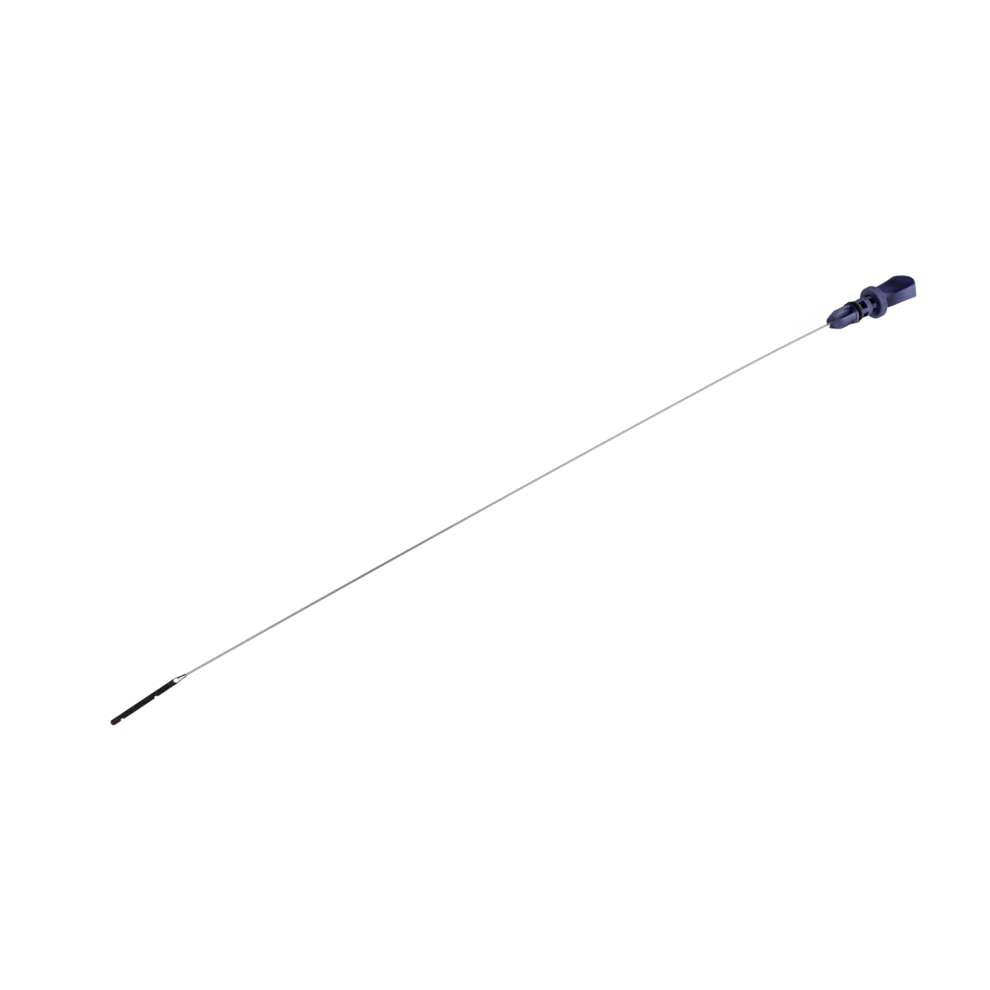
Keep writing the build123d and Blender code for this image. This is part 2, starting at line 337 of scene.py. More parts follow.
@dataclass(frozen=True)
class PlugSizes:
    """Sizes of the plug in millimetres; places along it count from the seat towards the grip."""

    flange: float = 5.0
    flange_radius: float = 12.6
    flange_rounding: float = 0.15
    root_radius: float = 5.8
    neck_ring: tuple[float, float] = (-9.6, -5.8)
    neck_radius: float = 7.4
    back_disc: tuple[float, float] = (-17.2, -15.6)
    front_disc: tuple[float, float] = (-22.1, -20.8)
    front_disc_radius: float = 8.3
    nose_radius: float = 7.5
    rib_half_width: float = 3.0
    slot_floor: float = -39.7

    def turned_edges(self) -> tuple[tuple[float, float], ...]:
        """List the round edges that stand out.

        Returns:
            Place and radius of each.
        """
        rim = self.flange_radius - self.flange_rounding
        edges = [(self.flange_rounding, rim), (self.flange - self.flange_rounding, rim)]
        edges += [(place, self.neck_radius) for place in self.neck_ring]
        edges += [(place, self.front_disc_radius) for place in self.front_disc]
        return tuple(edges)


@dataclass(frozen=True)
class GripSizes:
    """The grip's outline and hollow broad faces, in millimetres from the seat and the plug axis."""

    flare_place: float = 8.5
    flare_half_width: float = 7.7
    flare_slope: float = 0.38
    side_place: float = 13.5
    side_half_width: float = 9.6
    side_slope: float = 0.114
    end_centre: float = 23.9
    end_radius: float = 16.7
    face_middle: float = 0.4
    parting_line: float = 0.5
    hollow_place: float = 17.0
    hollow_height: float = 6.2
    hollow_curve: float = 0.0032


class HandlePlaces:
    """Fields that say where on the handle a point is, in millimetres along the handle's own axes."""

    def __init__(self, board: Board, axes: PlugAxes, plug: PlugSizes, grip: GripSizes) -> None:
        """Measure from the seat.

        Args:
            board: the material's nodes.
            axes: the handle's axes.
            plug: sizes of the plug.
            grip: sizes of the grip.
        """
        self.board = board
        self.plug = plug
        self.grip = grip
        self.along, self.across, self.out = board.measure(axes.seat, (axes.grip, axes.side, axes.thumb))
        self.radius = self.across.hypot(self.out)
        self.diagonal = self.across * self.out
        self.spot = board.spot(self.along, self.across, self.out)
        self.on_grip = self.along.rise(plug.flange - 0.2, plug.flange + 0.1)
        self.on_nose = self.along.rise(plug.front_disc[0] + 0.1, plug.front_disc[0] - 0.2)
        self.flange = self.span(0.0, plug.flange, EDGE_MM / 2)
        self.seat_face = self.along.band(-EDGE_MM, 0.4, EDGE_MM)
        self.rim = self.radius.rise(plug.flange_radius - 0.8, plug.flange_radius - 0.3) * self.flange
        self.front_disc = self.span(*plug.front_disc, EDGE_MM / 2)
        self.back_disc = self.span(*plug.back_disc, EDGE_MM / 2)
        self.window_span = self.span(plug.back_disc[1], plug.neck_ring[0], EDGE_MM)
        self.inset = self._inset()
        on_face = abs(self.out - grip.face_middle).rise(5.0, 5.4)
        self.broad = self.inset.rise(0.5, 1.0) * self.on_grip * on_face

    def span(self, first: float, last: float, over: float) -> Field:
        """Share that is 1 along a stretch of the handle, run over both its ends."""
        return self.along.band(first - over, last + over, EDGE_MM)

    def _inset(self) -> Field:
        """Measure in from the grip's outline.

        Returns:
            The distance.
        """
        grip = self.grip
        flare = grip.flare_half_width + (self.along - grip.flare_place) * grip.flare_slope
        side = grip.side_half_width + (self.along - grip.side_place) * grip.side_slope
        end = grip.end_radius - (self.along - grip.end_centre).hypot(self.across)
        return (flare.lowest(side) - abs(self.across)).lowest(end)

    def hollow(self) -> Field:
        """Find the painted shade in the neck's windows, at its root, on the seat's face (wider on one side)
        and on the nose.

        Returns:
            Its share.
        """
        plug = self.plug
        windows = (plug.neck_radius - EDGE_MM - self.radius).rise(0.0, 0.3) * self.window_span
        root = (plug.root_radius - EDGE_MM - self.radius).rise(0.0, 0.5)
        root = root * self.span(plug.neck_ring[1], 0.0, EDGE_MM)
        # Painted shade on the seat's face, towards the neck and on one side.
        face = (10.7 - self.radius).rise(0.0, 0.9) * self.across.rise(1.0, -6.0) * 0.87
        face = face.highest((8.4 - self.radius).rise(0.0, 1.4) * 0.85) * self.seat_face
        return windows.highest(root).highest(face).highest(self._pockets())

    def _pockets(self) -> Field:
        """Find the painted shade between the nose's ribs, most beside the disc, and along their creases.

        Returns:
            Its share.
        """
        deep = self.along.rise(-34.0, -29.0) * 0.25 + self.along.rise(-26.0, -22.6) * 0.45 + 0.3
        deep = deep + self.out.rise(-3.0, 1.0) * 0.15 + self.out.rise(-3.5, -5.0) * 0.25
        beside_disc = self.along.rise(-29.0, -25.0) * self.out.rise(4.0, 6.0) * 0.7
        edge = beside_disc + self.out.rise(-4.0, -5.0) * 0.5 + (self.plug.nose_radius - 0.6)
        pockets = (edge - self.radius).rise(0.0, 1.6) * deep
        rib = self.plug.rib_half_width
        crease = self.out.band(rib - 0.15, rib + 0.2, 0.12) * abs(self.across).band(3.6, 6.7, 0.4)
        crease = crease * self.along.rise(-38.0, -34.0) * 0.85
        return pockets.highest(crease) * self.on_nose

    def facing_away_shade(self) -> Field:
        """Find the painted shade on the top of the front disc, on two opposite quarters of the neck and of
        the grip's rounded edges, along edges of the nose's top and bottom ribs and on the lower halves of
        its side ribs.

        Returns:
            Its share.
        """
        disc = self.front_disc * self.out.rise(1.5, 5.0) * 0.95
        neck = self.diagonal.rise(3.0, 9.0) * self.window_span * 0.9
        rounded = self.inset.rise(1.5, 1.0) * abs(self.out).rise(4.4, 5.4) * self.along.rise(36.0, 31.0)
        edge = rounded * self.diagonal.rise(0.0, 30.0) * self.on_grip * 0.9

        sideways = abs(self.across)
        rib = sideways.band(2.2, 3.3, 0.3) * self.diagonal.rise(5.0, 9.0) * self.radius.rise(6.5, 7.0)
        top = sideways.band(2.1, 3.2, 0.3) * self.out.rise(4.0, 5.0) * self.radius.rise(6.2, 6.8)
        top = top * self.along.rise(-32.0, -27.0)
        # Painted shade on the lower halves of the side ribs.
        below = self.out.rise(-0.8, -2.4) * sideways.rise(5.5, 6.5)
        below = below * (self.along.rise(-31.0, -26.0) * 0.5 + 0.35)
        ribs = rib.highest(top).highest(below) * self.on_nose * 0.85
        return disc.highest(neck).highest(ribs).highest(edge)

    def edge_highlights(self) -> Field:
        """Find the turned edges and the edges of the nose's ribs, where highlights and wear are painted.

        Returns:
            Their share.
        """
        rib = self.plug.rib_half_width
        share = self.out.band(rib - 1.4, rib, 0.4) * abs(self.across).rise(6.2, 6.7) * self.on_nose
        for place, reach in self.plug.turned_edges():
            share = (self.along - place).hypot(self.radius - reach).rise(0.7, 0.15).highest(share)
        return share


@dataclass(frozen=True)
class HandlePlastic:
    """Violet-blue moulding with flow lines, polished broad faces, painted shade in its hollows and on sides
    turned from the light, and painted highlights with wear on its edges.
    """

    plug: PlugSizes = PlugSizes()
    grip: GripSizes = GripSizes()
    # Grip walls: painted shade near the flange, painted light towards the end and on the root's upper side.
    grip_shaded: str = "#393c58"
    grip_lit: str = "#7a7ab0"
    grip_end: str = "#727b9c"
    broad: str = "#413c80"
    # Dark navy of the painted shade on the broad faces.
    broad_shaded: str = "#161147"
    flange: str = "#61608a"
    # Paler violet of the painted light on the seat's face.
    flange_lit: str = "#807fb3"
    neck: str = "#6c6c97"
    nose: str = "#64678f"
    # Paler violet of the painted light on the ribs' outer faces, the seat ribs, the disc's shoulder and the
    # tip.
    rib: str = "#9090bd"
    front_disc: str = "#7f7ba3"
    # Near black painted on the front of the back disc, as shade beside the seal.
    back_disc: str = "#0c0d10"
    back_edge: str = "#66686f"
    # Dark navy of the painted shade and of the parting line.
    shade_and_seam: str = "#05043c"
    # Pale lavender of the highlights and wear painted along the edges.
    highlight_and_wear: str = "#9a98c0"
    roughness: float = 0.4
    specular: float = 0.008
    relief_mm: float = 0.07

    def material(self, axes: PlugAxes) -> Material:
        """Build the finish.

        Args:
            axes: the handle's axes.

        Returns:
            The material.
        """
        board = Board("handle_moulding")
        at = HandlePlaces(board, axes, self.plug, self.grip)
        cloud = board.noise(at.spot, 0.2, 4.0)
        speck = board.noise(at.spot, 1.6, 3.0, 0.6)
        grain = board.noise(at.spot, 3.0, 2.0, 0.6)
        flow = board.noise(board.spot(at.along * 0.06, at.across, at.out), 0.7, 5.0, 0.65)
        walls = 1 - at.broad

        # Painted shade in the hollows and on sides turned from the light; painted highlights and wear on
        # the edges.
        hollow = at.hollow()
        facing_away_shade = at.facing_away_shade()
        # Painted highlight in a band inside the broad face's outline, more on one side; painted highlights
        # and wear on the edges.
        lip_highlight = at.inset.band(1.6, 2.8, 0.6) * at.on_grip * at.out.rise(5.0, 5.6) * at.across.rise(-3.0, 3.0)
        edge_highlight = at.edge_highlights() * speck.rise(0.2, 0.7)
        edge_highlight = edge_highlight.highest(lip_highlight * 0.3 * speck.rise(0.25, 0.6)) * (1 - hollow) * (1 - facing_away_shade)
        parting = abs(at.out - self.grip.parting_line).rise(0.24, 0.08)
        parting = parting * (at.on_grip * walls).highest(at.rim)

        colour = board.paint(self._plug(at), (self._grip(at), at.on_grip))
        colour = board.shade(colour, 0.8 + (cloud - 0.5) * 0.36 + (flow - 0.4) * 1.7 * walls)
        # Lay the painted shade, the painted highlights and wear, then the dark parting line.
        shade_and_seam = (self.shade_and_seam, hollow * (0.85 + cloud * 0.3))
        colour = board.paint(colour, shade_and_seam, (self.shade_and_seam, facing_away_shade), (self.highlight_and_wear, edge_highlight * 0.75))
        colour = board.paint(colour, (self.shade_and_seam, parting * 0.35))
        rough = self.roughness + (cloud - 0.5) * 0.2 + (speck - 0.5) * 0.14 + edge_highlight * 0.1 + hollow * 0.2
        height = grain * 0.35 + flow * 0.7 * walls + parting * 0.9
        return board.finish(colour, rough, self.specular, board.bump(height, self.relief_mm, 0.5))

    def _plug(self, at: HandlePlaces) -> Field:
        """Colour of the neck, the discs, the nose and the flange, with painted light on faces turned to the
        lamps and painted shade at the front of the back disc.

        Args:
            at: places on the handle.

        Returns:
            The colour.
        """
        plug = self.plug
        board = at.board
        rib = plug.rib_half_width
        # Painted light on the ribs' outer faces, the seat ribs, the front disc's shoulder and the tip.
        outer = abs(at.out).rise(4.4, 5.2) * abs(at.across).rise(rib + 0.2, rib - 0.4) * at.on_nose
        near_rim = at.radius.rise(plug.nose_radius - 0.6, plug.nose_radius - 0.2)
        shoulder = near_rim * at.along.rise(-26.0, -23.5) * at.on_nose * 0.3
        root = at.radius.rise(plug.root_radius - 0.5, plug.root_radius - 0.1)
        root = root * at.along.band(plug.neck_ring[1], 0.0, 0.2)
        tip = at.along.rise(plug.slot_floor + 0.7, plug.slot_floor) * 0.3
        lit_ribs = outer.highest(root).highest(shoulder).highest(tip)
        # Painted shade: the back disc is near black at its front, beside the seal, and grey behind.
        back_rim = at.along.rise(plug.back_disc[0] + 0.2, plug.back_disc[0] + 0.6)
        back = board.paint(self.back_disc, (self.back_edge, back_rim))
        # Painted light on the seat's face, towards its rim and on one side.
        lit_face = at.across.rise(1.0, 9.0).highest(at.radius.rise(10.4, 11.1)) * at.seat_face * 0.75
        flange = board.paint(self.flange, (self.flange_lit, lit_face))
        colour = board.paint(self.neck, (self.nose, at.on_nose), (self.rib, lit_ribs))
        colour = board.paint(colour, (self.front_disc, at.front_disc), (back, at.back_disc * 0.9))
        return board.paint(colour, (flange, at.flange))

    def _grip(self, at: HandlePlaces) -> Field:
        """Colour of the grip: walls painted darker near the flange and paler towards their end, broad faces
        painted darker in their hollow and on one side, as light and shade.

        Args:
            at: places on the handle.

        Returns:
            The colour.
        """
        board = at.board
        # Painted shade near the flange, painted light towards the end and on the root's upper side.
        walls = board.paint(self.grip_shaded, (self.grip_lit, at.along.rise(12.0, 34.0)))
        root = at.out.rise(2.2, 4.2) * at.along.rise(13.0, 9.0)
        end = (self.grip_end, at.along.rise(29.0, 33.0))
        walls = board.paint(walls, end, (self.grip_lit, root * 0.45))
        # Painted shade on the broad faces: in their hollow and on one side.
        near_side = at.across.rise(-4.0, -8.0) * at.along.band(12.0, 33.0, 8.0)
        deep = at.along.band(20.0, 31.0, 9.0).highest(near_side)
        face = board.paint(self.broad, (self.broad_shaded, deep))
        from_middle = at.along - self.grip.hollow_place
        below_face = from_middle * from_middle * self.grip.hollow_curve + self.grip.hollow_height - at.out
        brow = below_face.rise(2.1, 1.5) * at.along.band(14.0, 36.0, 4.0)
        return board.paint(walls, (face, at.broad.highest(brow)))


@dataclass(frozen=True)
class SealRubber:
    """Black rubber with a satin bloom and oily patches."""

    body: str = "#030304"
    bloom: str = "#08090b"
    roughness: float = 0.55
    specular: float = 0.02
    relief_mm: float = 0.03

    def material(self, axes: PlugAxes) -> Material:
        """Build the finish.

        Args:
            axes: the handle's axes.

        Returns:
            The material.
        """
        board = Board("seal_ring_rubber")
        spot = board.spot(*board.measure(axes.seat, (axes.grip, axes.side, axes.thumb)))
        cloud = board.noise(spot, 0.5, 4.0)
        grain = board.noise(spot, 7.0, 2.0)
        colour = board.paint(self.body, (self.bloom, cloud.rise(0.45, 0.75)))
        rough = self.roughness + (cloud - 0.5) * 0.3 + (grain - 0.5) * 0.1
        return board.finish(colour, rough, self.specular, board.bump(grain, self.relief_mm, 0.5))


@dataclass(frozen=True)
class DrawnSteel:
    """Drawn wire with draw marks and duller stretches; its spade is bright, with a black far edge and
    painted shade along its near edge and round its eye.
    """

    bright: str = "#9f9f9e"
    dull: str = "#757572"
    pressed: str = "#f2f2ee"
    # Dark grey of the painted shade along the spade's near edge and round its eye.
    near_edge_shade: str = "#333332"
    # Black of the band along the spade's far edge.
    far_edge_black: str = "#040405"
    roughness: float = 0.7
    specular: float = 0.1
    relief_mm: float = 0.004
    dull_stretch_mm: tuple[float, float] = (90.0, 215.0)
    dull_fade_mm: float = 130.0
    plug_stretch_mm: tuple[float, float] = (430.0, 500.0)
    draw_length: float = 6.0
    near_edge_shade_width_mm: float = 0.45
    far_edge_black_width_mm: float = 1.5

    def material(self, route: "WireRoute", wire_radius: float, ring_radius: float) -> Material:
        """Build the finish.

        Args:
            route: the wire's line, for the place of its eye and the length of its taper.
            wire_radius: the wire's radius in millimetres.
            ring_radius: outer radius of the eye's ring in millimetres.

        Returns:
            The material.
        """
        board = Board("drawn_wire_steel")
        x, y, z = board.measure(route.eye, Matrix.Identity(3))
        spot = board.spot(x, y, z)
        around = board.node("ShaderNodeAttribute", {}, "Vector", attribute_name=WireMark.AROUND.value)
        along = board.node("ShaderNodeAttribute", {}, "Fac", attribute_name=WireMark.ALONG.value)
        section = [board.node("ShaderNodeSeparateXYZ", {0: around}, k) * (1 / MM) for k in ("X", "Y")]
        drawn = board.noise(board.spot(*section, along * self.draw_length), 1.6, 2.0, 0.5)
        cloud = board.noise(spot, 0.02, 3.0, 0.5)
        speck = board.noise(spot, 3.0, 2.0)
        dull = x.band(*self.dull_stretch_mm, self.dull_fade_mm) * 0.85
        dull = dull + x.rise(*self.plug_stretch_mm) * 0.15 + (cloud - 0.5) * 0.3
        colour = board.shade(board.paint(self.bright, (self.dull, dull)), 0.9 + drawn * 0.2)

        taper = route.taper_length_mm
        half = ring_radius - x * ((ring_radius - wire_radius) / taper)
        spade = x.rise(taper, taper - 2.0)
        # Painted shade along the spade's near edge and round the eye's hole.
        near_edge = (half + y).rise(self.near_edge_shade_width_mm + 0.15, self.near_edge_shade_width_mm - 0.15)
        eye_wall = x.hypot(y).rise(ring_radius - 0.28, ring_radius - 0.44)
        near_edge_shade = near_edge.highest(eye_wall) * spade
        # A black band along the spade's far edge, not metallic and rougher.
        far_edge_black = (half - y).rise(self.far_edge_black_width_mm + 0.1, self.far_edge_black_width_mm - 0.1)
        far_edge_black = far_edge_black * x.band(0.0, taper - 1.2, 0.8)
        colour = board.paint(colour, (self.pressed, spade), (self.near_edge_shade, near_edge_shade), (self.far_edge_black, far_edge_black))
        rough = self.roughness + (drawn - 0.5) * 0.15 + (speck - 0.5) * 0.08 - spade * 0.35 + far_edge_black * 0.3
        return board.finish(colour, rough, self.specular, board.bump(drawn, self.relief_mm, 0.4), 1 - far_edge_black)


@dataclass(frozen=True)
class GaugePlastic:
    """Black blade plastic, mottled by oil, with dark edges and a brown stained tip."""

    body: str = "#121212"
    mottle: str = "#333434"
    edge: str = "#060606"
    stain: str = "#382b27"
    roughness: float = 0.5
    specular: float = 0.06
    relief_mm: float = 0.04

    def material(self, eye: Vector, heading: Vector, length: float, width: float) -> Material:
        """Build the finish.

        Args:
            eye: middle of the eye, on the floor.
            heading: the blade's direction.
            length: from the eye to the tip, in millimetres.
            width: across the blade, in millimetres.

        Returns:
            The material.
        """
        board = Board("gauge_blade_plastic")
        along, across, up = board.measure(eye, (heading, UP.cross(heading), UP))
        spot = board.spot(along, across, up)
        cloud = board.noise(spot, 0.55, 4.0, 0.6)
        grain = board.noise(spot, 4.0, 3.0)
        middle = abs(across).rise(width / 2 - 0.15, width / 2 - 0.9)
        mottle = (self.mottle, middle * cloud.rise(0.42, 0.66))
        tip = along.rise(length - 9.0, length - 5.0)
        stain = (self.stain, tip * (0.35 + middle * 0.65))
        colour = board.paint(self.edge, (self.body, middle), mottle, stain)
        rough = self.roughness + (cloud - 0.5) * 0.25 + (grain - 0.5) * 0.1
        return board.finish(colour, rough, self.specular, board.bump(grain, self.relief_mm, 0.6))


class GeometryTree:
    """A Geometry Nodes tree with named inputs, run once on a base mesh."""

    def __init__(self, name: str) -> None:
        """Make a tree with one geometry input and one output.

        Args:
            name: its name.
        """
        self.group = bpy.data.node_groups.new(name, "GeometryNodeTree")
        for side in ("INPUT", "OUTPUT"):
            self.group.interface.new_socket("Geometry", in_out=side, socket_type="NodeSocketGeometry")
        self.entry = self.group.nodes.new("NodeGroupInput")
        self.exit = self.group.nodes.new("NodeGroupOutput")
        self.values: dict[str, Any] = {}

    def size(self, name: str, kind: str, value: Any) -> NodeSocket:
        """Add a named input.

        Args:
            name: the input's name.
            kind: its socket type.
            value: what the modifier sets it to.

        Returns:
            The input as a socket to link from.
        """
        made = self.group.interface.new_socket(name, in_out="INPUT", socket_type=kind)
        self.values[made.identifier] = value
        return self.entry.outputs[name]

    def node(self, kind: str, inputs: dict, **settings: Any) -> NodeSocket:
        """Add a node of any type and return its first output."""
        return add_node(self.group, kind, inputs, **settings)

    def mark(self, geometry: NodeSocket, name: WireMark, value: NodeSocket, kind: str) -> NodeSocket:
        """Keep a value of some data type on the geometry's points as a named attribute."""
        inputs = {"Geometry": geometry, "Name": name.value, "Value": value}
        return self.node("GeometryNodeStoreNamedAttribute", inputs, data_type=kind, domain="POINT")

    def close(self, geometry: NodeSocket, finish: Material) -> None:
        """End the tree in smooth faces, real geometry and a finish.

        Args:
            geometry: what the tree has made.
            finish: its material.
        """
        smooth = self.node("GeometryNodeSetShadeSmooth", {"Geometry": geometry})
        real = self.node("GeometryNodeRealizeInstances", {"Geometry": smooth})
        material = self.size("Finish", "NodeSocketMaterial", finish)
        dressed = self.node("GeometryNodeSetMaterial", {"Geometry": real, "Material": material})
        self.group.links.new(dressed, self.exit.inputs["Geometry"])

    def run(self, base: Mesh) -> Mesh:
        """Run the tree.

        Args:
            base: the mesh that it starts from.

        Returns:
            The result as a plain mesh.
        """
        holder = link_object(base.name, base)
        modifier = holder.modifiers.new(self.group.name, "NODES")
        modifier.node_group = self.group
        for identifier, value in self.values.items():
            modifier[identifier] = value
        return plain_mesh(holder)


def link_object(name: str, data: ID) -> Object:
    """Make an object and link it to the scene.

    Args:
        name: its name.
        data: its mesh, lamp or camera.

    Returns:
        The object.
    """
    made = bpy.data.objects.new(name, data)
    bpy.context.scene.collection.objects.link(made)
    return made


def plain_mesh(holder: Object) -> Mesh:
    """Turn an object with modifiers into a plain mesh and remove the object.

    Args:
        holder: the object.

    Returns:
        The mesh with its modifiers applied.
    """
    bpy.context.view_layer.update()
    depsgraph = bpy.context.evaluated_depsgraph_get()
    mesh = bpy.data.meshes.new_from_object(holder.evaluated_get(depsgraph), depsgraph=depsgraph)
    holder.modifiers.clear()
    bpy.data.objects.remove(holder)
    return mesh


def outline_mesh(name: str, points: Sequence[Vector], closed: bool) -> Mesh:
    """Mesh of edges only.

    Args:
        name: the mesh's name.
        points: the points in order.
        closed: whether the last joins the first.

    Returns:
        The mesh.
    """
    count = len(points)
    edges = [(i, (i + 1) % count) for i in range(count if closed else count - 1)]
    mesh = bpy.data.meshes.new(name)
    mesh.from_pydata(points, edges, [])
    return mesh


def place_piece(name: str, mesh: Mesh, node: str) -> None:
    """Put a finished mesh in the scene in the place of a CAD node.

    Args:
        name: the piece's name.
        mesh: its mesh, in place.
        node: the CAD node that it stands for.
    """
    piece = link_object(name, mesh)
    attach(piece, BODY)
    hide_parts(node)
    log.info("%s: %d faces, in place of %s", name, len(mesh.polygons), node)


def dress_node(node: str, finish: Material) -> None:
    """Give a CAD node its finish in its own material slots.

    Args:
        node: the node's name.
        finish: the material.
    """
    for holder in frame["nodes"][node].material_slots:
        holder.material = finish
    log.info("%s: CAD node dressed in %s", node, finish.name)


@dataclass
class Handle:
    """The moulded handle: its CAD solid in a detailed finish."""

    node: str = "handle"
    roll_deg: float = -24.0

    def axes(self) -> PlugAxes:
        """The handle's own axes."""
        return PlugAxes.from_record(frame["record"], self.roll_deg)

    def build(self) -> None:
        """Dress the solid."""
        dress_node(self.node, HandlePlastic().material(self.axes()))


@dataclass
class SealRing:
    """Rubber ring in the plug's groove, with the thin flash line of its mould outside and inside."""

    place_mm: float = -19.0
    middle_radius_mm: float = 7.2
    section_radius_mm: float = 1.5
    flash_mm: float = 0.05
    section_points: int = 40
    turns: int = 120

    def section(self) -> list[Vector]:
        """Draw the ring's section, with the flash raised at its outermost and innermost points.

        Returns:
            Its points in order.
        """
        points = []
        for i in range(self.section_points):
            angle = 2 * math.pi * i / self.section_points
            raised = self.flash_mm if i % (self.section_points // 2) == 0 else 0.0
            reach = (self.section_radius_mm + raised) * MM
            points.append(Vector((reach * math.cos(angle), reach * math.sin(angle), 0.0)))
        return points

    def build(self, axes: PlugAxes) -> None:
        """Sweep the section round the plug axis.

        Args:
            axes: the handle's axes.
        """
        tree = GeometryTree("seal_ring_sweep")
        radius = tree.size("Middle Radius", "NodeSocketFloat", self.middle_radius_mm * MM)
        turns = tree.size("Turns", "NodeSocketInt", self.turns)
        circle = tree.node("GeometryNodeCurvePrimitiveCircle", {"Resolution": turns, "Radius": radius})
        section = tree.node("GeometryNodeMeshToCurve", {"Mesh": tree.entry.outputs["Geometry"]})
        swept = tree.node("GeometryNodeCurveToMesh", {"Curve": circle, "Profile Curve": section})
        tree.close(swept, SealRubber().material(axes))
        mesh = tree.run(outline_mesh("seal_section", self.section(), True))
        mesh.transform(axes.matrix(self.place_mm))
        place_piece("rubber_seal_ring", mesh, "seal_ring")


@dataclass
class WireRoute:
    """The wire's line as it lies, in the upright plane of the plug axis."""

    axes: PlugAxes
    nose_mm: float = -42.5
    set_length_mm: float = 30.0
    first_bow_mm: float = 117.0
    first_turn_deg: float = 3.42
    long_bow_mm: float = 434.0
    long_turn_deg: float = 1.76
    bend_radius_mm: float = 30.0
    taper_length_mm: float = 8.3
    step_mm: float = 3.0
    least_steps: int = 6

    def __post_init__(self) -> None:
        """Lay the line from its blind end to the start of the spade."""
        self.line = [self.axes.point(self.nose_mm + self.set_length_mm), self.axes.point(self.nose_mm)]
        slope = math.degrees(math.asin(self.axes.grip.z))
        last_slope = slope + self.first_turn_deg + self.long_turn_deg
        tangent = self.bend_radius_mm * math.tan(math.radians(last_slope / 2))
        self._bow(slope, self.first_bow_mm, self.first_turn_deg)
        self._bow(slope + self.first_turn_deg, self.long_bow_mm - tangent, self.long_turn_deg)
        self._bow(last_slope, self.bend_radius_mm * math.radians(last_slope), -last_slope)
        self.spade_start = self.line[-1]
        eye = self.spade_start + Vector((-self.taper_length_mm * MM, 0.0, 0.0))
        self.eye = Vector((eye.x, eye.y, 0.0))

    def _bow(self, slope: float, length: float, turn: float) -> None:
        """Add an arc to the line.

        Args:
            slope: how far it sets out downhill towards -X, in degrees.
            length: its length in millimetres.
            turn: how far it turns further down, in degrees.
        """
        start = self.line[-1]
        radius = length * MM / math.radians(turn)
        first = math.radians(slope)
        count = max(self.least_steps, round(length / self.step_mm))
        for i in range(1, count + 1):
            last = first + math.radians(turn) * i / count
            swing = Vector((math.sin(first) - math.sin(last), 0.0, math.cos(last) - math.cos(first)))
            self.line.append(start + swing * radius)


Ring = list[tuple[float, float, float]]


